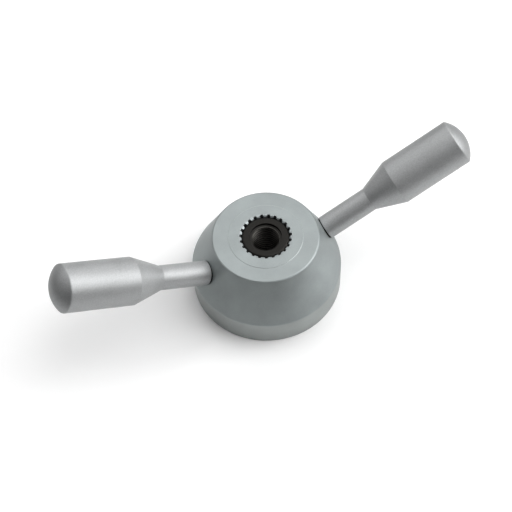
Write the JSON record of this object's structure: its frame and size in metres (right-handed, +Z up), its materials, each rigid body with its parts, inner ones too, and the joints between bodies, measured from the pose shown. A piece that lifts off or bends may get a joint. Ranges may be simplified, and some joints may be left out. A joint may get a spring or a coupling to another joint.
{
  "type": "handwheel",
  "caption": "Clamping handwheel: conical moulded hub with a serrated, internally threaded steel bush and turned metal grips on arms that sweep up.",
  "frame": {"origin": "centre of the hub's base, on the plane that it stands on", "axes": "+Z up along the spindle thread; the two arms run out and up along +X and -X"},
  "size_m": [0.2324, 0.08, 0.0734],
  "materials": {
    "hub_plastic": "fine matt moulded grain",
    "black_steel": "black oxide, oiled",
    "handle_metal": "fine turned satin",
    "stud_steel": "zinc plated"
  },
  "bodies": {
    "root": {"hub": "hub_plastic", "threaded_bush": "black_steel", "handle_left": "handle_metal", "handle_right": "handle_metal", "stud_left": "stud_steel", "stud_right": "stud_steel", "socket_insert_left": "black_steel", "socket_insert_right": "black_steel"}
  },
  "joints": []
}
